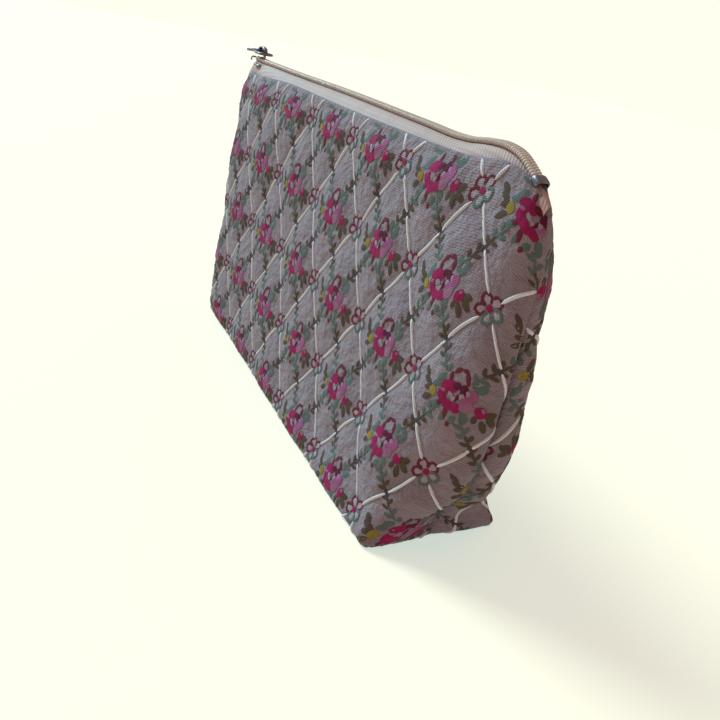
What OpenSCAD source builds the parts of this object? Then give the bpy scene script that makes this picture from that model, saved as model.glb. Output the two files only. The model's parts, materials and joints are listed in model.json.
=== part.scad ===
// Boxed-corner makeup bag: quilted walls on a flat base, closed along the top by a coil zip.
// The front and back walls lean in to the zip and swing out about the base edges as it opens.

/* [Body] */
// Length of the base, left to right
base_length = 218; // [190:1:226]
// Depth of the base, front to back
base_depth = 56; // [44:1:70]
// Length across the two zip ends
top_length = 248; // [246:1:254]
// Length at the widest level, where the filled ends push out
belly_length = 258; // [252:1:262]
// Height of that widest level
belly_height = 45; // [30:1:60]
// Height of the wall edges that carry the zip
wall_height = 128; // [124:1:140]
// Height at which the side panels end under the zip ends
side_height = 118; // [105:1:119]
// Width of the fabric gap that the zip spans
mouth_width = 22; // [18:1:26]

/* [Cloth] */
// Thickness of the outer cloth
outer_t = 0.8; // [0.6:0.1:1.2]
// Thickness of the wadding behind it
wadding_t = 2.2; // [1.6:0.1:2.8]
// Thickness of the lining
lining_t = 0.4; // [0.3:0.1:0.6]

/* [Zip] */
// Thickness of the zip tape
tape_t = 0.8; // [0.6:0.1:1]
// Radius of one coil half
coil_r = 1.4; // [1.2:0.1:1.5]
// Left end of the straight run of zip, measured from the middle
zip_left = 115; // [108:1:117]
// Right end of the straight run of zip, measured from the middle
zip_right = 107; // [98:1:109]
// Length of the slider
slider_length = 12; // [10:0.5:13]
// Width of the slider
slider_width = 8.4; // [8:0.2:9]
// Length of the pull from its pivot to its tip
pull_length = 18; // [16:0.5:20]

/* [Hidden] */
$fn = 32;
stack_t = outer_t + wadding_t + lining_t;
half_depth = base_depth / 2;
half_base = base_length / 2;
half_top = top_length / 2;
half_mouth = mouth_width / 2;
half_belly = belly_length / 2;
// How far a wall leans in for each millimetre of height
wall_lean = (half_depth - half_mouth) / wall_height;
// A leaning layer is this much thicker when measured level
wall_level = sqrt(1 + wall_lean * wall_lean);
// Height of the wall hems above the base, which leaves the base edges free to act as hinges
hem_z = stack_t + 0.9;
body_gap = 0.35;
edge = 300;
far = 400;
cloth = "#a69b9e";
padding = "#ece6da";
lining = "#d9cdbd";
cream = "#d8c8b4";
metal = "#77777c";
tape_top = wall_height + tape_t;
coil_z = tape_top + 0.9;
coil_y = 0.6 + coil_r;
tape_gap = 0.5;
slider_x = -zip_left - 1;
plate_t = 1.2;
plate_z = coil_z + coil_r + 0.6;
under_plate_t = 1;
under_plate_z = wall_height - 0.4 - under_plate_t;
crown_z = plate_z + plate_t;
crown_h = 3;
pivot_x = slider_x + 3;
pivot_z = crown_z + 1;
pivot_r = 0.7;
pull_droop = 6;
end_drop = tape_top - side_height - tape_t;
end_run = half_top - zip_right - 0.6;
end_slope = atan(end_drop / end_run);
// The tape ends fit between the two walls
end_width = 2 * (half_mouth - stack_t * wall_level - body_gap);

// Half the outside length of the bag at height z
function side_x(z) = lookup(z, [
    [0, half_base],
    [belly_height, half_belly],
    [side_height, half_top]
]);
// Half the outside depth of the bag at height z
function wall_y(z) = half_depth - z * wall_lean;

// Extrudes an outline drawn in x and z through the whole depth
module along_y() {
    rotate([90, 0, 0]) linear_extrude(2 * edge, center = true) children();
}

// Extrudes an outline drawn in y and z through the whole length
module along_x(from = -edge, to = edge) {
    translate([from, 0, 0]) rotate([90, 0, 90]) linear_extrude(to - from) children();
}

// One layer of the front wall, from depth d0 to depth d1 behind its outer face
module wall_layer(d0, d1) {
    intersection() {
        along_x() polygon([
            [-wall_y(hem_z) + d0 * wall_level, hem_z],
            [-wall_y(hem_z) + d1 * wall_level, hem_z],
            [-wall_y(wall_height) + d1 * wall_level, wall_height],
            [-wall_y(wall_height) + d0 * wall_level, wall_height]
        ]);
        along_y() polygon([
            [-side_x(hem_z), hem_z],
            [side_x(hem_z), hem_z],
            [half_belly, belly_height],
            [half_top, side_height],
            [zip_right, wall_height],
            [-zip_left + 4, wall_height],
            [-half_top, side_height],
            [-half_belly, belly_height]
        ]);
    }
}

// One layer of the right side panel, between the front and back walls
module side_layer(d0, d1) {
    inner = (stack_t * wall_level) + body_gap;
    intersection() {
        along_y() polygon([
            [side_x(stack_t) - d0, stack_t],
            [side_x(stack_t) - d1, stack_t],
            [half_belly - d1, belly_height],
            [half_top - d1, side_height],
            [half_top - d0, side_height],
            [half_belly - d0, belly_height]
        ]);
        along_x() polygon([
            [-wall_y(stack_t) + inner, stack_t],
            [wall_y(stack_t) - inner, stack_t],
            [wall_y(side_height) - inner, side_height],
            [-wall_y(side_height) + inner, side_height]
        ]);
    }
}

// One layer of the base, from height z0 to height z1
module base_layer(z0, z1) {
    translate([-half_base, -half_depth, z0]) cube([base_length, base_depth, z1 - z0]);
}

module outer_base() {
    color(cloth) base_layer(0, outer_t);
}

module outer_front() {
    color(cloth) wall_layer(0, outer_t);
}

module outer_back() {
    color(cloth) mirror([0, 1, 0]) wall_layer(0, outer_t);
}

module outer_side_right() {
    color(cloth) side_layer(0, outer_t);
}

module outer_side_left() {
    color(cloth) mirror([1, 0, 0]) side_layer(0, outer_t);
}

module wadding_base() {
    color(padding) base_layer(outer_t, outer_t + wadding_t);
}

module wadding_front() {
    color(padding) wall_layer(outer_t, outer_t + wadding_t);
}

module wadding_back() {
    color(padding) mirror([0, 1, 0]) wall_layer(outer_t, outer_t + wadding_t);
}

module wadding_side_right() {
    color(padding) side_layer(outer_t, outer_t + wadding_t);
}

module wadding_side_left() {
    color(padding) mirror([1, 0, 0]) side_layer(outer_t, outer_t + wadding_t);
}

module lining_base() {
    color(lining) base_layer(outer_t + wadding_t, stack_t);
}

module lining_front() {
    color(lining) wall_layer(outer_t + wadding_t, stack_t);
}

module lining_back() {
    color(lining) mirror([0, 1, 0]) wall_layer(outer_t + wadding_t, stack_t);
}

module lining_side_right() {
    color(lining) side_layer(outer_t + wadding_t, stack_t);
}

module lining_side_left() {
    color(lining) mirror([1, 0, 0]) side_layer(outer_t + wadding_t, stack_t);
}

// One side of the zip tape, sewn along the top edge of the front wall
module tape_half() {
    translate([-zip_left, -half_mouth, wall_height])
        cube([zip_left + zip_right, half_mouth - tape_gap, tape_t]);
}

module zip_tape_front() {
    color(cream) tape_half();
}

module zip_tape_back() {
    color(cream) mirror([0, 1, 0]) tape_half();
}

// The round outline of one coil half, cut flat where it lies on the tape
module coil_outline() {
    intersection() {
        translate([-coil_y, 0.9]) circle(r = coil_r);
        translate([-coil_y - coil_r, 0]) square([2 * coil_r, 3 * coil_r]);
    }
}

// One half of the nylon coil, on the inner edge of the front tape
module coil_half() {
    along_x(-zip_left, zip_right) translate([0, tape_top]) coil_outline();
}

module zip_coil_front() {
    color(cream) coil_half();
}

module zip_coil_back() {
    color(cream) mirror([0, 1, 0]) coil_half();
}

// The tape ends are sewn into the tops of the side seams
module zip_end_right() {
    color(cream) intersection() {
        along_y() polygon([
            [zip_right + 0.3, tape_top - tape_t],
            [zip_right + 0.3, tape_top],
            [half_top - 0.3, side_height + tape_t],
            [half_top - 0.3, side_height],
            [half_top - 2, side_height]
        ]);
        cube([far, end_width, far], center = true);
    }
}

module zip_end_left() {
    color(cream) intersection() {
        along_y() polygon([
            [-zip_left - 0.3, wall_height],
            [-zip_left - 0.3, tape_top],
            [-zip_left - 3.4, tape_top],
            [-half_top + 0.3, side_height],
            [-half_top + 2, side_height],
            [-zip_left - 2.6, wall_height]
        ]);
        cube([far, end_width, far], center = true);
    }
}

// Places something on the sloping right tape end, at a distance down the slope
module on_right_end(distance) {
    translate([zip_right + 0.3, 0, tape_top]) rotate([0, end_slope, 0]) translate([distance, 0, 0.05]) children();
}

// The last closed stretch of coil, which runs down to the bottom stop
module zip_coil_end() {
    color(cream) on_right_end(0.6) along_x(0, 10) union() {
        coil_outline();
        mirror([1, 0]) coil_outline();
        translate([-coil_y, 0]) square([2 * coil_y, 1.6]);
    }
}

// A U of flat wire pressed over the end of the coil
module bottom_stop() {
    color(metal) on_right_end(11) translate([0, -3.4, 0]) cube([4.4, 6.8, 2.4]);
}

module top_stops() {
    color(metal) for (side = [-1, 1])
        translate([-zip_left - 2.4, side * 1.9 - 1.2, tape_top]) cube([2 - body_gap * 2, 2.4, 1.8]);
}

// Two plates joined by a thin wedge between the coil halves, with a crown that holds the pull
module slider() {
    color(metal) {
        translate([slider_x + 1.2, -slider_width / 2, plate_z])
            cube([slider_length - 1.2, slider_width, plate_t]);
        translate([slider_x + 1.2, -slider_width / 2, under_plate_z])
            cube([slider_length - 1.2, slider_width, under_plate_t]);
        translate([slider_x + 1.2, -0.2, under_plate_z])
            cube([4, 0.4, plate_z - under_plate_z + plate_t]);
        difference() {
            translate([slider_x + 1.2, -1, crown_z]) cube([slider_length - 3, 2, crown_h]);
            translate([pivot_x - pivot_r - 0.2, -2, crown_z - 1]) cube([slider_length - 5.4, 4, 1 + 1.9]);
        }
    }
}

// A cross bar through the crown, two arms past its sides, and a plate with a slot
module slider_pull() {
    arm_in = 1.3;
    arm_w = 1.3;
    translate([pivot_x, 0, pivot_z]) rotate([0, -pull_droop, 0]) color(metal) {
        rotate([90, 0, 0]) cylinder(r = pivot_r, h = 2 * arm_in + 0.2, center = true);
        for (side = [-1, 1])
            translate([-9, side * (arm_in + arm_w / 2) - arm_w / 2, -0.6]) cube([9.7, arm_w, 1.2]);
        difference() {
            translate([-pull_length, -arm_in - arm_w, -0.6]) cube([pull_length - 8.9, 2 * (arm_in + arm_w), 1.2]);
            translate([-pull_length + 3, 0, -1]) cylinder(r = 1.2, h = 2);
        }
    }
}

outer_base();
outer_front();
outer_back();
outer_side_left();
outer_side_right();
wadding_base();
wadding_front();
wadding_back();
wadding_side_left();
wadding_side_right();
lining_base();
lining_front();
lining_back();
lining_side_left();
lining_side_right();
zip_tape_front();
zip_tape_back();
zip_coil_front();
zip_coil_back();
zip_end_left();
zip_end_right();
zip_coil_end();
top_stops();
bottom_stop();
slider();
slider_pull();
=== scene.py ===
import json
import math

import bmesh
import bpy
import numpy as np
from mathutils import Matrix, Vector


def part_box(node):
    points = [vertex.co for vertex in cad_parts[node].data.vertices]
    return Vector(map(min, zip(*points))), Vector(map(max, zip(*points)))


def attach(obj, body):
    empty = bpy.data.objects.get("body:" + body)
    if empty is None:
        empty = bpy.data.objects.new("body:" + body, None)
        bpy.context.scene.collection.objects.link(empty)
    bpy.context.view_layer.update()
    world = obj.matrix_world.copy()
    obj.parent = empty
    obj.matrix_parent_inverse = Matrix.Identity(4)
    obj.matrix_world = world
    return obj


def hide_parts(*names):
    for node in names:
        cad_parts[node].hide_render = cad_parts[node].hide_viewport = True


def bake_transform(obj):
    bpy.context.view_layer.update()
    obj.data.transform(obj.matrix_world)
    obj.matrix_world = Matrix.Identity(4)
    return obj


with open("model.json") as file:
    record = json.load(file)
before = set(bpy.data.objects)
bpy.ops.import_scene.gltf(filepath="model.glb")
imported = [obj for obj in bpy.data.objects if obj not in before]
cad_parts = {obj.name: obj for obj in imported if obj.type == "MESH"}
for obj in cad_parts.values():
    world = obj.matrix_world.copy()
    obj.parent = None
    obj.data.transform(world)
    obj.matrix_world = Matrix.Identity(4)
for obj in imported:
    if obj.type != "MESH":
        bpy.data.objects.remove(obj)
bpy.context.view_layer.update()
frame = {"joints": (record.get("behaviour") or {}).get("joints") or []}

# Camera. It stands close to the right end of the bag and looks along it, down and to the left,
# tilted a little, so that the near end and the front wall both show.
azimuth, elevation, tilt = math.radians(57.70), math.radians(29.98), math.radians(11.95)
backward = Vector((
    math.sin(azimuth) * math.cos(elevation),
    -math.cos(azimuth) * math.cos(elevation),
    math.sin(elevation),
))
level = Vector((0, 0, 1)).cross(backward).normalized()
rightward = level * math.cos(tilt) + backward.cross(level) * math.sin(tilt)
camera = bpy.data.objects.new("camera", bpy.data.cameras.new("camera"))
camera.matrix_world = Matrix((rightward, backward.cross(rightward), backward)).transposed().to_4x4()
camera.location = (0.27648, -0.13928, 0.15740)
camera.data.lens = 35.04
camera.data.sensor_width = 36
camera.data.shift_y = 0.0977
bpy.context.scene.collection.objects.link(camera)
bpy.context.scene.camera = camera

# Outer cloth. One strip of rose trellis jacquard runs up the front, under the base and up the back,
# so it stands on its head at the back. The two walls are sewn together down the middle of each end,
# and each wall's top edge is turned in over the zip tape.
MM = 0.001
wall_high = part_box("outer_front")[1]
base_low, base_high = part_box("outer_base")
wall_top = wall_high.z / MM
half_belly = wall_high.x / MM
half_depth = base_high.y / MM
cloth_t = (base_high.z - base_low.z) / MM
half_mouth = -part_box("zip_tape_front")[0].y / MM

# Heights at which the bag's outline is set, and at each the end seams, the end roundings, the share
# of the depth that is rounded, the depth, and how much the front spreads towards the right end
LEVELS = wall_top * np.array([0, 0.09, 0.2, 0.35, 0.55, 0.7, 0.86, 1])
RIGHT_SEAM = half_belly + np.array([-9, -9, 0.5, 6.5, 8, 7.5, 6.5, 1])
LEFT_SEAM = half_belly - np.array([33.5, 30.5, 27, 20.5, 13.5, 8, 2, 1])
RIGHT_ROUND = np.array([2.5, 10, 25, 32, 26, 30, 56, 94])
LEFT_ROUND = np.array([8, 10, 17, 23, 27, 36, 50, 86])
ROUNDED = np.array([0.15, 0.35, 0.75, 0.98, 1, 1, 1, 1])
DEPTH = half_mouth + (half_depth - half_mouth) * np.array([0.87, 0.7, 0.6, 0.44, 0.25, 0.11, 0, -0.12])
SPREAD = 0.001 * np.array([1.3, 0.5, 0.2, -0.3, -0.5, -0.7, -0.6, -0.4])
SEAM_DIP = np.array([0.5, 2, 3.5, 4, 4, 4, 3, 1.5])
# The rounding is elliptical low down, and higher up it draws out to a point where the zip ends
FULLNESS = np.array([2, 2, 2, 2, 2, 2.2, 2.6, 3])
POINTING = np.array([0.5, 0.5, 0.5, 0.5, 0.55, 0.65, 0.85, 1])
# How far the top edge rises above its even height or sinks below it, at shares of the way to a seam
EDGE_AT = [-1, -0.93, -0.8, -0.4, 0, 0.45, 0.75, 0.86, 0.93, 1]
EDGE_RISE = np.array([-8, -5, -4.5, -1.5, -1.3, -0.5, 0.5, 2.2, 0.4, -5.5])
fold_radius = 2.5
roll_radius = 1.1
# The pattern's steps along and up the strip, and where its place 0, 0 lies, counted in those steps from
# the middle of the front fold
REPEAT_ALONG, REPEAT_UP = 20, 28.2
COLUMN_SHIFT, ROW_SHIFT = 5.29, 0.285


def through(at, knots, values):
    """A smooth curve through a few set points: cubic pieces that share the mean slope at each point."""
    knots, values = np.array(knots, float), np.array(values, float)
    slope = np.gradient(values, knots)
    i = np.clip(np.searchsorted(knots, at) - 1, 0, len(knots) - 2)
    step = knots[i + 1] - knots[i]
    t = np.clip((at - knots[i]) / step, 0, 1)
    rise = (1 + 2 * t) * (1 - t) ** 2 * values[i] + t * t * (3 - 2 * t) * values[i + 1]
    return rise + step * (t * (1 - t) ** 2 * slope[i] - t * t * (1 - t) * slope[i + 1])


def half_level(height, inset, seam, rounding):
    """Half an outline of the bag, from the middle of a wall to an end seam, one row for each height:
    a straight wall, a rounded corner that is a quarter ellipse or a more pointed curve, and a flat
    stretch in to the seam."""
    end = (through(height, LEVELS, seam) - inset)[:, None]
    depth = (through(height, LEVELS, DEPTH) - inset)[:, None]
    long = np.maximum(through(height, LEVELS, rounding)[:, None] - inset[:, None], 0.5)
    short = depth * through(height, LEVELS, ROUNDED)[:, None]
    fuller = through(height, LEVELS, FULLNESS)[:, None]
    point = through(height, LEVELS, POINTING)[:, None]
    straight, flat = np.linspace(0, 1, 120), np.linspace(0, 1, 20)[1:]
    turn = np.sin(np.linspace(0, np.pi / 2, 90))[1:]
    x = np.hstack([straight * (end - long), end - long + long * turn, end + 0 * flat])
    round_off = np.maximum(1 - turn ** fuller, 0) ** point
    y = np.hstack([depth + 0 * straight, depth - short + short * round_off, (depth - short) * (1 - flat)])
    dip = through(height, LEVELS, SEAM_DIP)[:, None]
    return x - dip * np.exp(-y / 3), y


def relief(s, t):
    """How far the cloth puffs out at s along and t up the strip, in millimetres. It is held down
    along the diagonal cords, where either sine is zero, and rises most at each rose between them.
    A slow sag of the whole wall and a fine pucker inside each diamond are added."""
    u, v = s / REPEAT_ALONG - COLUMN_SHIFT, t / REPEAT_UP - ROW_SHIFT
    puff = np.abs(np.sin(np.pi * (u + v) / 2) * np.sin(np.pi * (u - v) / 2)) ** 0.55
    sag = 0.45 + 0.5 * np.sin(s / 19 + 1.4 * np.sin(t / 23)) + 0.35 * np.sin(t / 11 + 1.7 * np.sin(s / 31))
    pucker = 0.34 * np.sin(s / 1.9 + 2.3 * np.sin(t / 5.3)) * np.sin(t / 2.3 + 2.1 * np.sin(s / 6.1))
    return 2.2 * puff + sag + pucker * puff


def wall_surface(side, inset, columns, spacing, puffed=True, lift=0.0):
    """One wall of the bag as a grid: levels stacked up a profile that turns out of the base, leans in
    and rolls over at the top. side is -1 for the front and 1 for the back, inset is the distance
    behind the outer face, and the columns are evenly spaced by length round each level."""
    fold = np.linspace(0, np.pi / 2, 6)
    roll = np.linspace(0, np.pi, 7)[1:]
    rise = np.linspace(fold_radius, wall_top - roll_radius, int(wall_top / spacing))[1:]
    if puffed:
        hem = np.array([1.5, 3, 5])
        insets = [fold_radius * (1 - np.sin(fold)), 0 * rise, roll_radius * (1 - np.cos(roll)),
                  2 * roll_radius + 0 * hem]
        heights = [fold_radius * (1 - np.cos(fold)), rise, wall_top - roll_radius * (1 - np.sin(roll)),
                   wall_top - roll_radius - hem]
    else:
        below_edge = 1.5
        insets = [fold_radius * (1 - np.sin(fold)), 0 * rise]
        heights = [fold_radius * (1 - np.cos(fold)) + lift * (1 - fold / np.pi * 2),
                   rise * (1 - below_edge / wall_top)]
    insets, heights = np.concatenate(insets), np.concatenate(heights)
    t = np.concatenate([[0], np.cumsum(np.hypot(np.diff(insets), np.diff(heights)))])
    right_x, right_y = half_level(heights, insets + inset, RIGHT_SEAM, RIGHT_ROUND)
    left_x, left_y = half_level(heights, insets + inset, LEFT_SEAM, LEFT_ROUND)
    x = np.hstack([-left_x[:, :0:-1], right_x])
    y = np.hstack([left_y[:, :0:-1], right_y])
    y = y * (1 + through(heights, LEVELS, SPREAD)[:, None] * x)
    middle = left_x.shape[1] - 1
    step_x, step_y = np.diff(x, axis=1, prepend=x[:, :1]), np.diff(y, axis=1, prepend=y[:, :1])
    s = np.cumsum(np.hypot(step_x, step_y), axis=1)
    s = s - s[:, middle:middle + 1]
    share = np.linspace(-1, 1, columns)
    even = np.where(share < 0, -share * s[:, :1], share * s[:, -1:])
    x = np.stack([np.interp(e, si, xi) for e, si, xi in zip(even, s, x)])
    y = np.stack([np.interp(e, si, yi) for e, si, yi in zip(even, s, y)]) * side
    z = heights[:, None] * (through(share, EDGE_AT, wall_top + EDGE_RISE) / wall_top)
    points = np.stack([x, y, z], axis=2)
    run, climb = np.gradient(points, axis=1), np.gradient(points, axis=0)
    normal = np.cross(run, climb) * -side
    normal /= np.linalg.norm(normal, axis=2, keepdims=True)
    pattern_t = np.where(side < 0, t, -2 * half_depth - t)[:, None] + 0 * even
    if puffed:
        held = np.clip(t / 8, 0, 1)[:, None] * np.clip((wall_top - t) / 6, 0, 1)[:, None]
        held = held * np.clip((1 - np.abs(share)) * 20, 0, 1)
        points = points + normal * (held * relief(even, pattern_t))[:, :, None]
    return {"points": points, "normal": normal, "s": even, "t": t, "pattern_t": pattern_t, "side": side}


def grid_faces(rows, columns, start=0):
    """The four-sided faces of a grid of points, counterclockwise where columns run right and rows up."""
    first = (start + np.arange(rows - 1)[:, None] * columns + np.arange(columns - 1)).ravel()
    return np.stack([first, first + 1, first + columns + 1, first + columns], axis=1)


def shell_faces(rows, columns):
    """The faces of a thin closed shell: an outer grid, an inner grid facing the other way, and the rim."""
    count = rows * columns
    outer = grid_faces(rows, columns)
    index = np.arange(count).reshape(rows, columns)
    rim = np.concatenate([index[0], index[1:, -1], index[-1, -2::-1], index[-2:0:-1, 0]])
    after = np.roll(rim, -1)
    edge = np.stack([after, rim, rim + count, after + count], 1)
    return np.concatenate([outer, outer[:, ::-1] + count, edge])


def make_mesh(name, points, faces, flip=False, smooth=True):
    """A mesh object from an array of points in millimetres and an array of faces."""
    mesh = bpy.data.meshes.new(name)
    faces = faces[:, ::-1] if flip else faces
    mesh.from_pydata(np.asarray(points).reshape(-1, 3) * MM, [], faces.tolist())
    mesh.polygons.foreach_set("use_smooth", np.full(len(mesh.polygons), smooth))
    piece = bpy.data.objects.new(name, mesh)
    bpy.context.scene.collection.objects.link(piece)
    return piece


def lay_uv(piece, s, t):
    """Gives a piece a UV map in metres along and up the cloth strip, so that a weave follows it."""
    mesh = piece.data
    corners = np.zeros(len(mesh.loops), int)
    mesh.loops.foreach_get("vertex_index", corners)
    flat = np.stack([np.ravel(s), np.ravel(t)], 1)[corners] * MM
    mesh.uv_layers.new(name="cloth").data.foreach_set("uv", flat.ravel())


def shell(name, surface, thickness):
    """A wall grid given a thickness inwards, with its rim kept sharp so that it doesn't shade the faces."""
    points, normal = surface["points"], surface["normal"]
    rows, columns = points.shape[:2]
    both = np.stack([points, points - normal * thickness])
    piece = make_mesh(name, both, shell_faces(rows, columns), flip=surface["side"] > 0)
    lay_uv(piece, np.stack([surface["s"]] * 2), np.stack([surface["pattern_t"]] * 2))
    piece.data.set_sharp_from_angle(angle=math.radians(50))
    return piece


def base_shell(name, low, high, z, thickness):
    """The base: the bottom rows of the two walls drawn in, ring by ring, to a line along the middle
    that stops 25 mm short of each end."""
    edge = np.concatenate([low["points"][0], high["points"][0, -2:0:-1]])
    spine = edge * [1, 0, 1]
    spine[:, 0] = np.clip(spine[:, 0], edge[:, 0].min() + 25, edge[:, 0].max() - 25)
    share = np.linspace(0, 1, 15)[:, None, None]
    upper = edge + share * (spine - edge)
    upper = np.concatenate([upper, upper[:, :1]], axis=1)
    upper[:, :, 2] = z
    both = np.stack([upper + [0, 0, thickness], upper])
    piece = make_mesh(name, both, shell_faces(*upper.shape[:2]), flip=True)
    lay_uv(piece, both[..., 0], -half_depth - both[..., 1])
    weld(piece)
    return piece


def weld(piece):
    """Joins points that lie on each other, drops the faces that this closes up, and turns the rest out."""
    work = bmesh.new()
    work.from_mesh(piece.data)
    bmesh.ops.remove_doubles(work, verts=work.verts, dist=0.00001)
    bmesh.ops.recalc_face_normals(work, faces=work.faces)
    work.to_mesh(piece.data)
    work.free()


def swing(piece):
    """Fixes a piece's placement into its points and reads the points out, but does nothing more with
    them, so the piece does not bend as the zip opens.
    """
    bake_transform(piece)
    points = np.zeros(len(piece.data.vertices) * 3)
    piece.data.vertices.foreach_get("co", points)


def linear(colour):
    """A colour written as sRGB hex, turned to the linear values that a shader takes."""
    parts = [int(colour[i:i + 2], 16) / 255 for i in (1, 3, 5)]
    return [c / 12.92 if c <= 0.04045 else ((c + 0.055) / 1.055) ** 2.4 for c in parts] + [1]


def feed(tree, node, inputs):
    """Gives each named input of a node a value, or a link from another node's output."""
    for key, value in inputs.items():
        if isinstance(value, bpy.types.NodeSocket):
            tree.links.new(value, node.inputs[key])
        else:
            node.inputs[key].default_value = value


def add(tree, kind, inputs, **settings):
    """Adds one shader node with its settings and inputs."""
    made = tree.nodes.new("ShaderNode" + kind)
    for key, value in settings.items():
        setattr(made, key, value)
    feed(tree, made, inputs)
    return made


def material(name):
    """A new material with an empty Principled shader, and its node tree and shader."""
    made = bpy.data.materials.new(name)
    made.use_nodes = True
    return made, made.node_tree, made.node_tree.nodes["Principled BSDF"]


def cloth_position(tree):
    """Where a point lies on the cloth strip, in millimetres."""
    place = add(tree, "UVMap", {}, uv_map="cloth").outputs[0]
    return add(tree, "VectorMath", {0: place, "Scale": 1 / MM}, operation="SCALE").outputs[0]


# Cotton and viscose jacquard, woven: a dull, slightly pink ground with fine cross ribs and paler and
# darker threads, which hardly shines. The ribs are drawn 0.8 mm apart, coarser than real, so that they
# show. The crumple, about 4 mm across, is that of soft cloth sewn over wadding.
jacquard, tree, shader = material("woven rose jacquard ground")
place = cloth_position(tree)
ribs = add(tree, "TexWave", {"Vector": place, "Scale": math.pi / 10 / 0.8, "Distortion": 0.25,
                             "Detail": 1.0, "Detail Scale": 2.0},
           wave_type="BANDS", bands_direction="Y").outputs["Fac"]
threads = add(tree, "TexNoise", {"Vector": place, "Scale": 1.6, "Detail": 3.0}).outputs["Fac"]
cloudy = add(tree, "TexNoise", {"Vector": place, "Scale": 0.09, "Detail": 3.0}).outputs["Fac"]
shade = add(tree, "ValToRGB", {"Fac": cloudy})
shade.color_ramp.elements[0].position, shade.color_ramp.elements[0].color = 0.3, linear("#6b5a60")
shade.color_ramp.elements[1].position, shade.color_ramp.elements[1].color = 0.7, linear("#7f6d74")
dark = add(tree, "Math", {0: threads, 1: 0.35}, operation="MULTIPLY").outputs[0]
shade = shade.outputs[0]
speckled = add(tree, "MixRGB", {"Fac": dark, "Color1": shade, "Color2": linear("#4d3e43")}).outputs[0]
pale = add(tree, "Math", {0: ribs, 1: 0.15}, operation="MULTIPLY").outputs[0]
ribbed = add(tree, "MixRGB", {"Fac": pale, "Color1": speckled, "Color2": linear("#a59196")}).outputs[0]
height = add(tree, "Math", {0: ribs, 1: threads}, operation="ADD").outputs[0]
bumped = add(tree, "Bump", {"Height": height, "Distance": 0.00011, "Strength": 0.8}).outputs[0]
crumple = add(tree, "TexNoise", {"Vector": place, "Scale": 0.28, "Detail": 4.0, "Roughness": 0.6})
bumped = add(tree, "Bump", {"Height": crumple.outputs["Fac"], "Distance": 0.0026, "Strength": 0.8,
                            "Normal": bumped}).outputs[0]
feed(tree, shader, {"Base Color": ribbed, "Normal": bumped, "Roughness": 0.86, "Specular IOR Level": 0.3,
                    "Sheen Weight": 0.05, "Sheen Roughness": 0.5})

walls = {}
for side, word in ((-1, "front"), (1, "back")):
    surface = wall_surface(side, 0, 232, 1.35)
    walls[side] = surface
    piece = shell("outer_cloth_" + word, surface, cloth_t)
    piece.data.materials.append(jacquard)
    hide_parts("outer_" + word, "outer_side_right" if side < 0 else "outer_side_left")
    swing(piece)
    walls[side]["piece"] = piece
outer_base = base_shell("outer_cloth_base", walls[-1], walls[1], 0, cloth_t)
outer_base.data.materials.append(jacquard)
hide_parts("outer_base")
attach(outer_base, "bag")

# Raised cords. A white filling yarn floats in the weave and makes a low ridge, about 1.1 mm wide,
# along the diagonals that join the small flowers. It is caught down where a vine crosses it.
cord_half_wide, cord_high = 0.57, 0.8


def lay(surface, s, t, lift):
    """The points of the wall at s along and t up the strip, lifted off the cloth: the grid's own
    points and normals, averaged between the four that are nearest. What stands proud sinks in at the
    seams. The second result says which points lie on the wall at all."""
    side = surface["side"]
    up = t if side < 0 else -2 * half_depth - t
    rows, columns = surface["points"].shape[:2]
    row = np.clip(np.interp(up, surface["t"], np.arange(rows)), 0, rows - 1.001)
    low = row.astype(int)
    part = (row - low)[..., None]
    reach_left = np.interp(up, surface["t"], -surface["s"][:, 0])
    reach_right = np.interp(up, surface["t"], surface["s"][:, -1])
    reached = np.where(s < 0, s / reach_left, s / reach_right)
    share = np.clip(reached, -1, 1)
    column = np.clip((share + 1) / 2 * (columns - 1), 0, columns - 1.001)
    left = column.astype(int)
    over = (column - left)[..., None]

    def sample(grid):
        below = grid[low, left] * (1 - over) + grid[low, left + 1] * over
        above = grid[low + 1, left] * (1 - over) + grid[low + 1, left + 1] * over
        return below * (1 - part) + above * part

    normal = sample(surface["normal"])
    hem = wall_top + 1.5
    inside = (np.abs(reached) < 1) & (up > 0) & (up < hem)
    sewn = np.clip((1 - np.abs(share)) * 40, 0, 1) * np.clip((hem - up) / 3, 0, 1)
    proud = np.minimum(lift, 0) + np.maximum(lift, 0) * sewn
    laid = sample(surface["points"]) + normal * proud[..., None]
    laid[..., 2] = np.maximum(laid[..., 2], 0)
    return laid, inside


def lattice(side):
    """The numbered places of the pattern's repeat that fall on a wall: columns 20 mm apart along it
    and rows 28.2 mm apart up it, with a flower where their sum is even and a rose where it is odd."""
    rows = np.arange(-1, 6) if side < 0 else np.arange(-8, -1)
    i, j = np.meshgrid(np.arange(-14, 4), rows)
    return i.ravel(), j.ravel()


def on_strip(u, v):
    """Millimetres along and up the strip, from the numbered columns and rows of the pattern."""
    return (u + COLUMN_SHIFT) * REPEAT_ALONG, (v + ROW_SHIFT) * REPEAT_UP


# Soft twisted cotton yarn, bleached: a warm white that stays matt, with a faint slant of its twist. The
# twist is drawn 0.5 mm apart, coarser than real.
cord_white, tree, shader = material("raised white filling yarn")
place = cloth_position(tree)
twist = add(tree, "TexWave", {"Vector": place, "Scale": math.pi / 10 / 0.5, "Distortion": 1.0},
            wave_type="BANDS", bands_direction="DIAGONAL").outputs["Fac"]
pair = {"Fac": twist, "Color1": linear("#a7a1a4"), "Color2": linear("#bfb9bb")}
tint = add(tree, "MixRGB", pair).outputs[0]
bumped = add(tree, "Bump", {"Height": twist, "Distance": 0.00006, "Strength": 0.6}).outputs[0]
feed(tree, shader, {"Base Color": tint, "Normal": bumped, "Roughness": 0.7, "Sheen Weight": 0.15})


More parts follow.
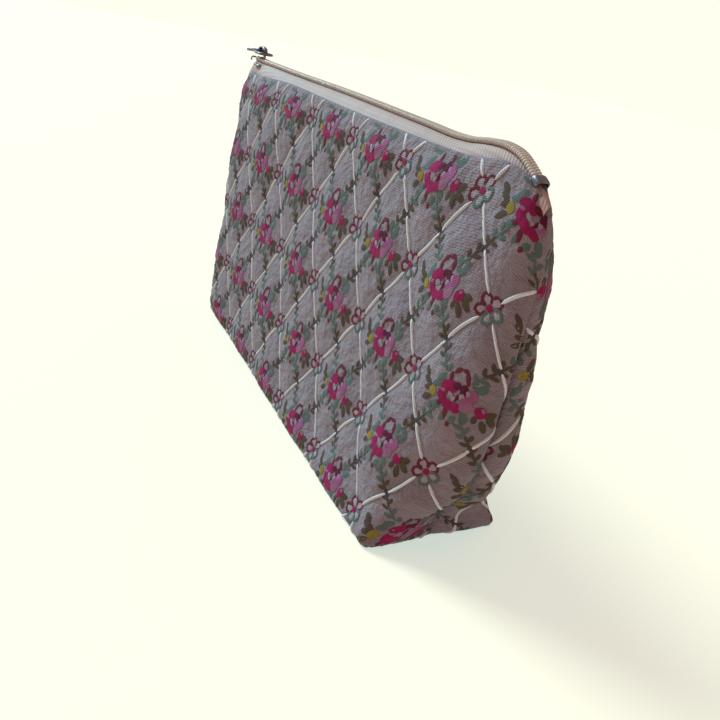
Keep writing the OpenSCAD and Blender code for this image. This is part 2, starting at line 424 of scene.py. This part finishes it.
def cords(side):
    """Cords from each flower to the next, on both diagonals: a strip whose section is a low half
    ellipse, narrowed at both ends, a little wavy, and dipped where a vine crosses its middle."""
    i, j = lattice(side)
    even = (i + j) % 2 == 0
    i, j = i[even], j[even]
    along = np.linspace(0.115, 0.885, 34)
    across = np.linspace(-1, 1, 6)
    pieces = []
    for lean in (1, -1):
        u = i[:, None] + lean * along
        v = j[:, None] + along
        s, t = on_strip(u, v)
        tangent = np.array([lean * REPEAT_ALONG, REPEAT_UP]) / math.hypot(REPEAT_ALONG, REPEAT_UP)
        wobble = 0.35 * np.sin(s / 4.1 + t / 6.3)
        taper = np.minimum(1, 18 * np.minimum(along - 0.1, 0.9 - along))
        under = taper * (1 - 0.95 * np.exp(-((along - 0.5) / 0.035) ** 2))
        offset = across[None, None, :] * cord_half_wide * taper[None, :, None] + wobble[:, :, None]
        s = s[:, :, None] + tangent[1] * offset
        t = t[:, :, None] - tangent[0] * offset
        arch = np.sqrt(np.maximum(1 - across ** 2, 0))
        lift = cord_high * arch[None, None, :] * under[None, :, None] - 0.12
        pieces.append((s, t, lift + 0 * s))
    return [np.concatenate(part) for part in zip(*pieces)]


def strips(name, surface, s, t, lift):
    """A mesh of many small strips laid on a wall. A face is kept only if all of it lies on the wall."""
    points, inside = lay(surface, s, t, lift)
    count, long, wide = s.shape
    faces = np.concatenate([grid_faces(long, wide, k * long * wide) for k in range(count)])
    faces = faces[inside.ravel()[faces].all(axis=1)]
    used, faces = np.unique(faces, return_inverse=True)
    piece = make_mesh(name, points.reshape(-1, 3)[used], faces.reshape(-1, 4), flip=surface["side"] < 0)
    lay_uv(piece, s.ravel()[used], t.ravel()[used])
    return piece


for side, word in ((-1, "front"), (1, "back")):
    piece = strips("raised_cords_" + word, walls[side], *cords(side))
    piece.data.materials.append(cord_white)
    swing(piece)
    walls[side]["cords"] = piece

# Woven motifs. Coloured weft threads come to the face of the cloth in roses, small flowers, leaves
# and the vines between them, and lie a little proud of the ground.
CRIMSON, DEEP, PINK, BLUSH, PALE = "#7e0440", "#4c0525", "#84456a", "#81536a", "#87727c"
BRICK, YELLOW, SAGE, OLIVE, SLATE = "#591c29", "#7c6822", "#4c5651", "#43362a", "#3a3d58"
PETAL, EYE = "#8b7d82", "#80063c"

# A rose spray. Each mark gives its colour, its place across and up from the spray's middle, its half
# length and half width in millimetres, and its turn in degrees
ROSE = [
    (SAGE, -5.4, 3.8, 2.0, 1.0, 60), (SAGE, -6.4, 1.5, 1.5, 0.9, 20), (SAGE, -4.4, -5.0, 2.1, 1.1, 215),
    (SAGE, 7.8, 6.2, 2.1, 1.1, 60), (SAGE, 5.0, -4.4, 2.1, 1.1, 285), (SAGE, 2.4, -6.9, 1.6, 0.9, 250),
    (SAGE, -1.4, -7.6, 1.5, 0.8, 240), (SAGE, 5.2, 8.4, 1.5, 0.8, 100),
    (BRICK, -0.6, -5.7, 2.1, 0.8, 265), (BRICK, -3.4, -3.9, 1.2, 0.7, 220), (BRICK, 1.2, -8.6, 0.9, 0.6, 260),
    (BRICK, -1.8, 5.6, 1.6, 0.6, 95), (BRICK, -0.6, 8.2, 1.5, 0.6, 55), (BRICK, 1.5, 9.2, 1.1, 0.6, 10),
    (BRICK, 3.2, 7.2, 1.8, 0.7, 100),
    (OLIVE, -9.8, 0.6, 2.1, 0.9, 160), (OLIVE, -11.4, 2.6, 1.8, 0.8, 130), (OLIVE, -8.9, -4.2, 1.9, 0.9, 215),
    (OLIVE, -9.4, -1.4, 1.3, 0.8, 190), (OLIVE, 12.2, -0.3, 1.8, 1.1, 20), (OLIVE, 12.8, -2.8, 1.9, 1.0, 320),
    (OLIVE, 10.9, -4.8, 2.1, 0.9, 290), (OLIVE, 8.3, -3.6, 1.3, 0.7, 260),
    (YELLOW, -7.0, -1.4, 1.5, 1.3, 90),
    (CRIMSON, -1.9, 2.6, 2.7, 1.9, 20), (DEEP, 0.6, 3.9, 1.3, 1.0, 40), (DEEP, 3.3, 3.5, 2.0, 1.2, 110),
    (CRIMSON, -3.0, -1.2, 2.0, 1.3, 110), (CRIMSON, -0.6, -2.9, 2.1, 1.4, 330),
    (CRIMSON, 2.0, -2.6, 1.8, 1.4, 20),
    (PINK, 5.8, 2.3, 2.4, 1.6, 80), (BLUSH, 4.9, -0.9, 2.1, 1.5, 60), (PINK, 3.8, 0.9, 1.3, 1.0, 90),
    (PALE, -0.5, 0.3, 1.0, 0.7, 330), (PALE, 1.0, -0.4, 0.8, 0.5, 60), (DEEP, 1.9, 0.6, 1.6, 0.5, 75),
    (PALE, 2.9, 1.5, 0.9, 0.6, 60), (BLUSH, -3.2, 0.6, 0.9, 0.5, 20), (PALE, 4.6, 3.4, 0.8, 0.5, 100),
    (CRIMSON, 9.5, -0.6, 1.9, 1.4, 75), (BLUSH, 9.8, 0.3, 0.8, 0.6, 75),
]


def from_middle(reach, aim):
    """Across and up to a place a reach away from the middle, in the direction aim in degrees."""
    return reach * math.cos(math.radians(aim)), reach * math.sin(math.radians(aim))


def flower():
    """A small flower, its marks given as the rose's are: five pale petals, an outline of seven short
    threads round each of them, and a magenta eye."""
    petal_out, outline_out = 2.9, 1.55
    aims = [60 + 72 * petal for petal in range(5)]
    marks = [(PETAL, *from_middle(petal_out, aim), 1.3, 1.2, aim) for aim in aims]
    for petal, aim in enumerate(aims):
        x, y = from_middle(petal_out, aim)
        for arc in (-125, -84, -42, 0, 42, 84, 125):
            out_x, out_y = from_middle(outline_out, aim + arc)
            thread = BRICK if petal < 3 else SAGE
            marks.append((thread, x + out_x, y + out_y, 0.74, 0.44, aim + 90 + arc))
    return marks + [(EYE, 0, 0, 1.0, 0.9, 30)]


def vine(lean):
    """A vine from a rose up to the next along a diagonal: paired leaves on a stem, sage near the
    roses and olive near the middle, where a slate diamond lies on the crossing cord."""
    length = math.hypot(REPEAT_ALONG, REPEAT_UP)
    heading = math.degrees(math.atan2(REPEAT_UP, lean * REPEAT_ALONG))
    marks = [(SLATE, 0.5, 0, 1.35, 1.15, 0)]
    for k in range(12):
        far = 0.24 + 0.045 * k
        side = 1 if k % 2 else -1
        colour = OLIVE if 0.36 < far < 0.62 else SAGE
        marks.append((colour, far, side * 1.35, 1.25, 0.6, side * 50))
        marks.append((colour, far + 0.02, 0, 1.1, 0.42, 0))
    out = []
    for colour, far, off, long, wide, turn in marks:
        x = lean * REPEAT_ALONG * far - REPEAT_UP / length * off
        y = REPEAT_UP * far + lean * REPEAT_ALONG / length * off
        out.append((colour, x, y, long, wide, heading + turn))
    return out


def stamps(side):
    """Every mark of every motif on a wall: place, half length, half width, turn, colour, and the lift
    of its layer, since each later mark of a motif lies a little over the ones before it."""
    i, j = lattice(side)
    odd = (i + j) % 2 == 1
    table = []
    for marks, chosen in ((ROSE, odd), (vine(1), odd), (vine(-1), odd), (flower(), ~odd)):
        s0, t0 = on_strip(i[chosen], j[chosen])
        marked = np.array([[x, y, long, wide, math.radians(turn)] + linear(colour)[:3] + [0.005 * layer]
                           for layer, (colour, x, y, long, wide, turn) in enumerate(marks)])
        each = np.repeat(marked[None], len(s0), axis=0)
        each[:, :, 0] += s0[:, None]
        each[:, :, 1] += t0[:, None]
        table.append(each.reshape(-1, 9))
    return np.concatenate(table)


def motif_mesh(name, surface, rng):
    """Each mark as a low lens laid on the cloth: a ragged ellipse, one middle point above, one below."""
    corners = 10
    marks = stamps(surface["side"])
    count = len(marks)
    marks[:, :2] += rng.normal(0, 0.12, (count, 2))
    marks[:, 4] += rng.normal(0, 0.12, count)
    around = np.arange(corners) * 2 * np.pi / corners
    reach = 1 + rng.normal(0, 0.06, (count, corners))
    point = np.abs(np.cos(around)) ** 3
    x = 1.12 * marks[:, 2:3] * np.cos(around) * reach
    y = 1.18 * marks[:, 3:4] * np.sin(around) * reach * (1 - 0.2 * point)
    turn = marks[:, 4:5]
    s = marks[:, 0:1] + x * np.cos(turn) - y * np.sin(turn)
    t = marks[:, 1:2] + x * np.sin(turn) + y * np.cos(turn)
    order = marks[:, 8:9]
    s = np.hstack([s, marks[:, 0:1], marks[:, 0:1]])
    t = np.hstack([t, marks[:, 1:2], marks[:, 1:2]])
    lift = np.hstack([np.full(x.shape, 0.05), np.full((count, 1), 0.16), np.full((count, 1), -0.25)])
    points, inside = lay(surface, s, t, lift + order)
    each = corners + 2
    ring = np.arange(corners)
    after = np.roll(ring, -1)
    fan = np.concatenate([np.stack([ring, after, ring * 0 + corners], 1),
                          np.stack([after, ring, ring * 0 + corners + 1], 1)])
    keep = inside[:, corners] & (inside.sum(axis=1) >= corners)
    faces = (fan[None] + (np.flatnonzero(keep) * each)[:, None, None]).reshape(-1, 3)
    used, faces = np.unique(faces, return_inverse=True)
    faces = faces.reshape(-1, 3)
    piece = make_mesh(name, points.reshape(-1, 3)[used], faces, flip=surface["side"] > 0, smooth=False)
    lay_uv(piece, s.ravel()[used], t.ravel()[used])
    tint = np.repeat(marks[:, None, 5:8], each, axis=1) * (1 + rng.normal(0, 0.07, (count, each, 1)))
    tint = np.concatenate([np.clip(tint, 0, 1), np.ones((count, each, 1))], axis=2)
    tint = tint.reshape(-1, 4)[used]
    attribute = piece.data.attributes.new("thread_colour", "FLOAT_COLOR", "POINT")
    attribute.data.foreach_set("color", tint.astype(np.float32).ravel())
    return piece


# Dyed viscose thread, woven as floats that lie side by side: clear, deep colours without gloss, each
# mark a little uneven, with the threads drawn 0.6 mm apart, coarser than real, so that they show.
floats, tree, shader = material("coloured weft floats")
place = cloth_position(tree)
own = add(tree, "Attribute", {}, attribute_name="thread_colour", attribute_type="GEOMETRY").outputs["Color"]
ribs = add(tree, "TexWave", {"Vector": place, "Scale": math.pi / 10 / 0.6, "Distortion": 1.2, "Detail": 1.0},
           wave_type="BANDS", bands_direction="Y").outputs["Fac"]
flecks = add(tree, "TexNoise", {"Vector": place, "Scale": 1.9, "Detail": 2.0}).outputs["Fac"]
fleck = add(tree, "Math", {0: flecks, 1: 0.09}, operation="MULTIPLY").outputs[0]
worn = add(tree, "MixRGB", {"Fac": fleck, "Color1": own, "Color2": linear("#6c5c60")}).outputs[0]
bumped = add(tree, "Bump", {"Height": ribs, "Distance": 0.00015, "Strength": 0.7}).outputs[0]
feed(tree, shader, {"Base Color": worn, "Normal": bumped, "Roughness": 0.8, "Specular IOR Level": 0.12})

rng = np.random.default_rng(7)
for side, word in ((-1, "front"), (1, "back")):
    piece = motif_mesh("woven_motifs_" + word, walls[side], rng)
    piece.data.materials.append(floats)
    swing(piece)

# Wadding. A layer of polyester wadding lies behind the cloth all over and makes the walls stand. It is
# cut with the cloth and caught in the same seams.
wadding_t = (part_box("wadding_base")[1].z - base_high.z) / MM
# The hollows of the cloth need this room in front of the wadding
cloth_ease = 0.6

# Polyester fibre, carded and bonded into a felt: near white, wholly matt and a little tufted.
fleece, tree, shader = material("bonded polyester wadding")
place = cloth_position(tree)
fibres = add(tree, "TexNoise", {"Vector": place, "Scale": 0.8, "Detail": 6.0, "Distortion": 1.5})
fibres = fibres.outputs["Fac"]
pair = {"Fac": fibres, "Color1": linear("#dcd6ca"), "Color2": linear("#f4f0e8")}
tint = add(tree, "MixRGB", pair).outputs[0]
bumped = add(tree, "Bump", {"Height": fibres, "Distance": 0.0006, "Strength": 0.8}).outputs[0]
feed(tree, shader, {"Base Color": tint, "Normal": bumped, "Roughness": 0.95})

pads = {}
for side, word in ((-1, "front"), (1, "back")):
    pads[side] = wall_surface(side, cloth_t + cloth_ease, 140, 3, puffed=False, lift=cloth_t + 0.1)
    piece = shell("wadding_" + word + "_pad", pads[side], wadding_t - cloth_ease)
    piece.data.materials.append(fleece)
    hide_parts("wadding_" + word, "wadding_side_right" if side < 0 else "wadding_side_left")
    swing(piece)
piece = base_shell("wadding_base_pad", pads[-1], pads[1], cloth_t + 0.1, wadding_t - 0.2)
piece.data.materials.append(fleece)
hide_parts("wadding_base")
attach(piece, "bag")

# Lining. A plain thin cotton bag of the same cut hangs inside and is sewn in along the zip.
lining_t = 0.4
lining_in = cloth_t + wadding_t + 0.1

# Plain weave cotton, dyed: an even warm cream, matt, with the shade of soft creases painted into its
# colour as lighter and darker patches. Its threads are drawn 0.5 mm apart, coarser than real.
cotton, tree, shader = material("plain woven cotton lining")
place = cloth_position(tree)
warp = add(tree, "TexWave", {"Vector": place, "Scale": math.pi / 10 / 0.5, "Distortion": 0.4},
           wave_type="BANDS", bands_direction="X").outputs["Fac"]
weft = add(tree, "TexWave", {"Vector": place, "Scale": math.pi / 10 / 0.5, "Distortion": 0.4},
           wave_type="BANDS", bands_direction="Y").outputs["Fac"]
weave = add(tree, "Math", {0: warp, 1: weft}, operation="ADD").outputs[0]
# Painted shade of soft creases: the cream turns lighter and darker in patches about 17 mm across
painted_crease_shade = add(tree, "TexNoise", {"Vector": place, "Scale": 0.06, "Detail": 3.0}).outputs["Fac"]
pair = {"Fac": painted_crease_shade, "Color1": linear("#cbbba6"), "Color2": linear("#e2d6c6")}
tint = add(tree, "MixRGB", pair).outputs[0]
bumped = add(tree, "Bump", {"Height": weave, "Distance": 0.0001, "Strength": 0.6}).outputs[0]
feed(tree, shader, {"Base Color": tint, "Normal": bumped, "Roughness": 0.8})

linings = {}
for side, word in ((-1, "front"), (1, "back")):
    linings[side] = wall_surface(side, lining_in, 120, 2.6, puffed=False, lift=lining_in)
    piece = shell("lining_cloth_" + word, linings[side], lining_t)
    piece.data.materials.append(cotton)
    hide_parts("lining_" + word, "lining_side_right" if side < 0 else "lining_side_left")
    swing(piece)
piece = base_shell("lining_cloth_base", linings[-1], linings[1], lining_in, lining_t)
piece.data.materials.append(cotton)
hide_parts("lining_base")
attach(piece, "bag")

# Zip tapes. Two woven dusty pink tapes are sewn under the turned-in edges of the walls and carry the
# coils. At each end they turn down and are caught in the side seams.
tape_low, tape_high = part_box("zip_tape_front")
tape_left, tape_right = tape_low.x / MM, tape_high.x / MM
tape_z = tape_high.z / MM
tape_t = 0.6
# The zip's line along the bag. It is nearly level where the slider runs, bows up past the end of that,
# and turns down at both ends.
ZIP_X = [-129, -126, -123.5, -120, tape_left - 1, tape_left + 6, -70, 0, 60,
         80, 86, 95, 104, 111, 117, 121, 125, 129]
ZIP_Z = tape_z + np.array([-10, -7, -4.5, -1.8, 0, 0, 0.2, 1.2, 1.4,
                           1.5, 2.0, 3.4, 4.0, 2.9, 0.2, -2.0, -3.8, -7.5])


def tape_rows(x, side):
    """A tape as a grid: rows across at each x, from the sewn-in margin behind the wall's turned edge,
    up along a curve that flattens as it comes to the coil. The wall's edge is its row of points just
    past the crest of the roll."""
    edge = walls[side]["points"][-6]
    edge_y = np.interp(x, edge[:, 0], np.abs(edge[:, 1]))
    edge_z = np.interp(x, edge[:, 0], edge[:, 2])
    share = np.linspace(0, 1, 12)
    inner_z = through(x, ZIP_X, ZIP_Z)
    outer_y = np.maximum(edge_y - 0.4, np.interp(np.abs(x), [118, 124, 128], [1.9, 2.2, 1.2]))
    outer_z = np.minimum(edge_z - 1.3, inner_z - 0.2)
    y = outer_y[:, None] + (0.35 - outer_y)[:, None] * share
    z = outer_z[:, None] + (inner_z - outer_z)[:, None] * (1 - (1 - share) ** 2.2)
    y = np.hstack([y[:, :1], y[:, :1], y])
    z = np.hstack([z[:, :1] - 3, z[:, :1] - 1.5, z])
    return np.stack([x[:, None] + 0 * y, side * y, z], axis=2)


def tape_piece(name, x, sides):
    """One or both tapes over a stretch of the zip, given a thickness downwards, with a sharp rim."""
    if len(sides) == 2:
        rows = np.concatenate([tape_rows(x, -1), tape_rows(x, 1)[:, ::-1]], axis=1)
    else:
        rows = tape_rows(x, sides[0])
        rows = rows if sides[0] < 0 else rows[:, ::-1]
    rows = rows[::-1]
    both = np.stack([rows, rows - [0, 0, tape_t]])
    piece = make_mesh(name, both, shell_faces(*rows.shape[:2]))
    lay_uv(piece, both[..., 0], both[..., 1])
    piece.data.set_sharp_from_angle(angle=math.radians(50))
    return piece


# Polyester, woven in a narrow twill: dusty pink, matt, ribbed along its length, with picks that slant
# across the ribs. Both are drawn coarser than real, 1.1 and 0.7 mm apart.
twill, tree, shader = material("woven polyester zip tape")
place = cloth_position(tree)
ribs = add(tree, "TexWave", {"Vector": place, "Scale": math.pi / 10 / 1.1, "Distortion": 0.3},
           wave_type="BANDS", bands_direction="Y").outputs["Fac"]
picks = add(tree, "TexWave", {"Vector": place, "Scale": math.pi / 10 / 0.7, "Distortion": 0.5},
            wave_type="BANDS", bands_direction="DIAGONAL").outputs["Fac"]
weave = add(tree, "Math", {0: ribs, 1: picks}, operation="ADD").outputs[0]
stain = add(tree, "TexNoise", {"Vector": place, "Scale": 0.12, "Detail": 3.0}).outputs["Fac"]
pair = {"Fac": stain, "Color1": linear("#8e6c64"), "Color2": linear("#a5837a")}
tint = add(tree, "MixRGB", pair).outputs[0]
bumped = add(tree, "Bump", {"Height": weave, "Distance": 0.00014, "Strength": 0.7}).outputs[0]
feed(tree, shader, {"Base Color": tint, "Normal": bumped, "Roughness": 0.7, "Sheen Weight": 0.1})

for side, word in ((-1, "front"), (1, "back")):
    piece = tape_piece("woven_tape_" + word, np.linspace(tape_left, tape_right, 200), [side])
    piece.data.materials.append(twill)
    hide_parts("zip_tape_" + word)
    swing(piece)
for word, first, last in (("left", -126, tape_left), ("right", tape_right, 127.5)):
    piece = tape_piece("woven_tape_end_" + word, np.linspace(first, last, 30), [-1, 1])
    piece.data.materials.append(twill)
    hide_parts("zip_end_" + word)
    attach(piece, "bag")

# Zip coils. Each half is a nylon monofilament wound in a flat spiral and sewn to its tape's edge,
# and the turns of one half lock between the turns of the other.
coil_pitch = 0.95
wire = 0.36
turn_half_wide, turn_half_high, turn_z = 0.9, 0.6, 0.85


def coil(name, first, last, sides):
    """Turns of wire at even steps along the zip, for one side or both. Each is a flat ellipse across
    the zip, 1.8 mm by 1.2 mm, swept by a circle of the wire's radius, and leans forward as it comes
    over the top. The back half's turns stand half a step on from the front half's."""
    steps, corners = 14, 6
    x = np.arange(first, last, coil_pitch)
    sides, x = np.repeat(sides, len(x)), np.tile(x, len(sides))
    x = x + np.where(sides > 0, coil_pitch / 2, 0)
    a = (np.arange(steps) * 2 * np.pi / steps)[None, :, None]
    r = (np.arange(corners) * 2 * np.pi / corners)[None, None, :]
    across = turn_half_wide + (turn_half_wide + wire * np.cos(r)) * np.cos(a + np.pi)
    y = sides[:, None, None] * across
    z = turn_z + (turn_half_high + wire * np.cos(r)) * np.sin(a)
    along = x[:, None, None] + 0.35 * np.sin(a) + wire * np.sin(r) + 0 * y
    ground = through(along, ZIP_X, ZIP_Z)
    points = np.stack([along, y, z + ground], axis=3)
    k = np.arange(steps)[:, None] * corners + np.arange(corners)
    over, on = np.roll(k, -1, axis=0), np.roll(k, -1, axis=1)
    quads = np.stack([k, over, np.roll(over, -1, axis=1), on], axis=2).reshape(-1, 4)
    quads = quads[None] + (np.arange(len(x)) * steps * corners)[:, None, None]
    quads[sides > 0] = quads[sides > 0][:, :, ::-1]
    return make_mesh(name, points, quads.reshape(-1, 4))


# Nylon monofilament, drawn and heat set: smooth, with the soft shine of plastic, and dulled a little
# by dust in patches about 3 mm across.
nylon, tree, shader = material("drawn nylon coil")
spot = add(tree, "TexCoord", {}).outputs["Object"]
dust = add(tree, "TexNoise", {"Vector": spot, "Scale": 350.0, "Detail": 3.0}).outputs["Fac"]
pair = {"Fac": dust, "Color1": linear("#b09c90"), "Color2": linear("#c6b5aa")}
tint = add(tree, "MixRGB", pair).outputs[0]
feed(tree, shader, {"Base Color": tint, "Roughness": 0.42})

for side, word in ((-1, "front"), (1, "back")):
    piece = coil("nylon_coil_" + word, tape_left + 0.5, tape_right, [side])
    piece.data.materials.append(nylon)
    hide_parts("zip_coil_" + word)
    swing(piece)
piece = coil("nylon_coil_end", tape_right, 120, [-1, 1])
piece.data.materials.append(nylon)
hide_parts("zip_coil_end")
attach(piece, "bag")

# Zip metalwork. The slider and its pull are die-cast zinc and the stops are bent from flat wire,
# all plated dark nickel. The slider rides on the coils and the stops are pinched onto them.

# Zinc, die-cast and plated with dark nickel: a grey metal with a blurred shine, rubbed unevenly.
nickel, tree, shader = material("die-cast zinc, dark nickel plated")
spot = add(tree, "TexCoord", {}).outputs["Object"]
rub = add(tree, "TexNoise", {"Vector": spot, "Scale": 700.0, "Detail": 4.0}).outputs["Fac"]
pair = {"Fac": rub, "Color1": linear("#4e4d55"), "Color2": linear("#7e7d83")}
tint = add(tree, "MixRGB", pair).outputs[0]
rough = add(tree, "MapRange", {"Value": rub, "To Min": 0.26, "To Max": 0.5}).outputs[0]
feed(tree, shader, {"Base Color": tint, "Roughness": rough, "Metallic": 1.0})


def squared(angle, power):
    """The cosine and sine of an angle, both raised to a power below one, which makes a circle squarer."""
    c, s = np.cos(angle), np.sin(angle)
    return np.sign(c) * np.abs(c) ** power, np.sign(s) * np.abs(s) ** power


def rounded_plate(x0, x1, wide0, wide1, z0, z1):
    """A plate between two lengths and two heights: a squared circle as its outline, whose width runs
    from one size to the other, in rings that draw in a little at the top and bottom edges and close
    to a point."""
    length, width = squared(np.arange(40) * 2 * np.pi / 40, 0.5)
    draw = np.array([0, 0.93, 1, 1, 0.93, 0])[:, None]
    rise = np.array([0, 0, 0.22, 0.78, 1, 1])[:, None]
    x = (x0 + x1) / 2 + (x1 - x0) / 2 * length * draw
    half = (wide0 + (wide1 - wide0) * (x - x0) / (x1 - x0)) / 2
    points = np.stack([x, half * width * draw, z0 + (z1 - z0) * rise + 0 * x], axis=2)
    return tube_mesh(points)


def tube_mesh(points, closed=False):
    """Faces for rings of points, one ring after another, each ring closed on itself."""
    rings, around = points.shape[:2]
    k = np.arange(rings * around).reshape(rings, around)
    ahead = np.roll(k, -1, axis=0) if closed else k[1:]
    here = k if closed else k[:-1]
    faces = np.stack([here, np.roll(here, -1, axis=1), np.roll(ahead, -1, axis=1), ahead], axis=2)
    return points.reshape(-1, 3), faces.reshape(-1, 4)


def joined(name, parts):
    """One mesh from several lots of points and faces."""
    starts = np.cumsum([0] + [len(points) for points, _ in parts[:-1]])
    points = np.concatenate([points for points, _ in parts])
    faces = np.concatenate([faces + start for (_, faces), start in zip(parts, starts)])
    piece = make_mesh(name, points, faces)
    weld(piece)
    return piece


def bent_bar(path, wide, high):
    """A bar with a squared circle as its section, carried along a path in the x-z plane square to the
    path's own direction, and closed to a point at the ends."""
    path = np.array(path, float)
    step = np.gradient(path, axis=0)
    step /= np.linalg.norm(step, axis=1, keepdims=True)
    across, out = squared(np.arange(12) * 2 * np.pi / 12, 0.6)
    across, out = across * wide / 2, out * high / 2
    x = path[:, :1] - step[:, 1:] * out
    z = path[:, 1:] + step[:, :1] * out
    rings = np.stack([x, across + 0 * x, z], axis=2)
    ends = np.stack([rings[0].mean(axis=0) + 0 * rings[0], rings[-1].mean(axis=0) + 0 * rings[-1]])
    return tube_mesh(np.concatenate([ends[:1], rings, ends[1:]]))


slider_low, slider_high = (np.array(corner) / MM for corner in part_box("slider"))
nose, tail, wide = slider_high[0], slider_low[0], slider_high[1] - slider_low[1]
sole_z, plate_z, top_z = slider_low[2], tape_z + 3.3, slider_high[2]
# The crown is a bow over the upper plate, and the divider is a post between the two plates
turn = np.linspace(0, np.pi, 15)
crown_x = (nose + tail) / 2 - 1 + 4.4 * np.cos(turn)
crown_z = plate_z + 1 + (top_z - plate_z - 1.45) * np.sin(turn) ** 0.6
divider_z = np.linspace(sole_z + 0.5, plate_z + 0.5, 6)
slider = joined("zip_slider", [
    rounded_plate(tail, nose, wide * 0.86, wide, plate_z, plate_z + 1.1),
    rounded_plate(tail, nose, wide * 0.86, wide, sole_z, sole_z + 1),
    bent_bar(np.stack([crown_x, crown_z], 1), 1.9, 0.9),
    bent_bar(np.stack([np.full(6, nose - 3.2), divider_z], 1), 0.5, 3.2),
])
slider.data.materials.append(nickel)
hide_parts("slider")
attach(slider, "slider_body")

pull_low, pull_high = (np.array(corner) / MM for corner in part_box("slider_pull"))
pivot = next(joint for joint in frame["joints"] if joint["name"] == "pull_swing")["pos_m"]


def flat_link(x0, x1, half_wide, hole0, hole1, half_hole, thick):
    """A flat link with one long hole: an outer and an inner squared circle, and between them a strip
    with softened edges, closed round the hole. Lengths are measured from the pivot."""
    length, width = squared(np.arange(48) * 2 * np.pi / 48, 0.55)
    outer = np.stack([(x0 + x1) / 2 + (x1 - x0) / 2 * length, half_wide * width], 1)
    inner = np.stack([(hole0 + hole1) / 2 + (hole1 - hole0) / 2 * length, half_hole * width], 1)
    draw = np.array([0.12, 0, 0, 0.12, 0.88, 1, 1, 0.88])[:, None, None]
    rise = np.array([1, 0.6, -0.6, -1, -1, -0.6, 0.6, 1])[:, None]
    flat = outer * (1 - draw) + inner * draw
    points = np.concatenate([flat, (thick / 2 * rise + 0 * flat[:, :, 0])[:, :, None]], axis=2)
    return tube_mesh(points, closed=True)


# A loop round the crown, and beyond it a grip with a small hole near its tip. The pull rests with a
# slight droop.
reach = pull_high[0] - pull_low[0] - 1
pull = joined("zip_pull", [
    flat_link(-9.8, 0.75, 2.5, -8.2, -0.75, 1.35, 1.1),
    flat_link(-reach + 0.6, -8.6, 2.6, -reach + 2.2, -reach + 4.6, 1.0, 1.2),
])
droop = math.radians(-6)
pull.data.transform(Matrix.Translation(Vector(pivot)) @ Matrix.Rotation(droop, 4, "Y"))
pull.data.materials.append(nickel)
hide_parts("slider_pull")
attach(pull, "pull")


def clip_band(x, half, rise, long, thick):
    """A stop: flat wire bent to a squared half circle over the coil, as a bar along a path across the
    zip, tipped to the zip's own slope at x."""
    turn = np.linspace(0, np.pi, 21)
    path = np.stack([-half * np.sign(np.cos(turn)) * np.abs(np.cos(turn)) ** 0.5,
                     rise * np.sin(turn) ** 0.5], 1)
    points, faces = bent_bar(path, long, thick)
    ahead, ground, behind = through(np.array([x + 1, x, x - 1]), ZIP_X, ZIP_Z)
    slope = math.atan2(ahead - behind, 2)
    along, up = points[:, 1], points[:, 2]
    return np.stack([x + along * math.cos(slope) - up * math.sin(slope), points[:, 0],
                     ground + along * math.sin(slope) + up * math.cos(slope)], 1), faces


stop = joined("zip_bottom_stop", [clip_band(120.5, 2.2, 1.8, 3.1, 0.7)])
stop.data.materials.append(nickel)
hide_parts("bottom_stop")
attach(stop, "bag")

ends = []
for side in (-1, 1):
    points, faces = clip_band(tape_left - 1.8, 1.5, 1.7, 1.3, 0.6)
    ends.append((points + [0, side * 1.9, 0], faces))
stops = joined("zip_top_stops", ends)
stops.data.materials.append(nickel)
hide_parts("top_stops")
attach(stops, "bag")

# Floor and light. A plain ivory sheet under the bag, a cool broad light like a window's from the left
# and a little in front, high up, and a warm, weaker light all round.
floor_half, floor_drop = 3000, 0.05
floor_corners = floor_half * np.array([[-1, -1, 0], [1, -1, 0], [1, 1, 0], [-1, 1, 0]]) - [0, 0, floor_drop]
floor = make_mesh("floor", floor_corners, np.array([[0, 1, 2, 3]]))

# Uncoated paper: ivory and matt. It is given a little light of its own, which real paper lacks, to
# keep the bag's shadow pale and neutral under the cool light and the warm one.
ivory, tree, shader = material("matt ivory paper")
feed(tree, shader, {"Base Color": [0.54, 0.31, 0.2, 1], "Emission Color": [0.46, 0.61, 0.57, 1],
                    "Emission Strength": 1.0, "Roughness": 0.95, "Specular IOR Level": 0.1})
floor.data.materials.append(ivory)

key = bpy.data.objects.new("key", bpy.data.lights.new("key", "SUN"))
key.data.energy = 6.0
key.data.angle = math.radians(25)
key.data.color = (0.46, 0.86, 1.0)
key.rotation_euler = Vector((-0.74, -0.32, 0.6)).to_track_quat("Z", "Y").to_euler()
bpy.context.scene.collection.objects.link(key)

# The room's light falls on everything, and where the camera looks past the floor it sees plain ivory
world = bpy.data.worlds.new("room")
world.use_nodes = True
tree = world.node_tree
seen = tree.nodes["Background"]
seen.inputs["Color"].default_value = linear("#fffff0")
soft = add(tree, "Background", {"Color": [0.6, 0.45, 0.38, 1], "Strength": 1.0})
straight = add(tree, "LightPath", {}).outputs["Is Camera Ray"]
mixed = add(tree, "MixShader", {0: straight, 1: soft.outputs[0], 2: seen.outputs[0]})
tree.links.new(mixed.outputs[0], tree.nodes["World Output"].inputs["Surface"])
bpy.context.scene.world = world
bpy.context.scene.view_settings.view_transform = "Standard"
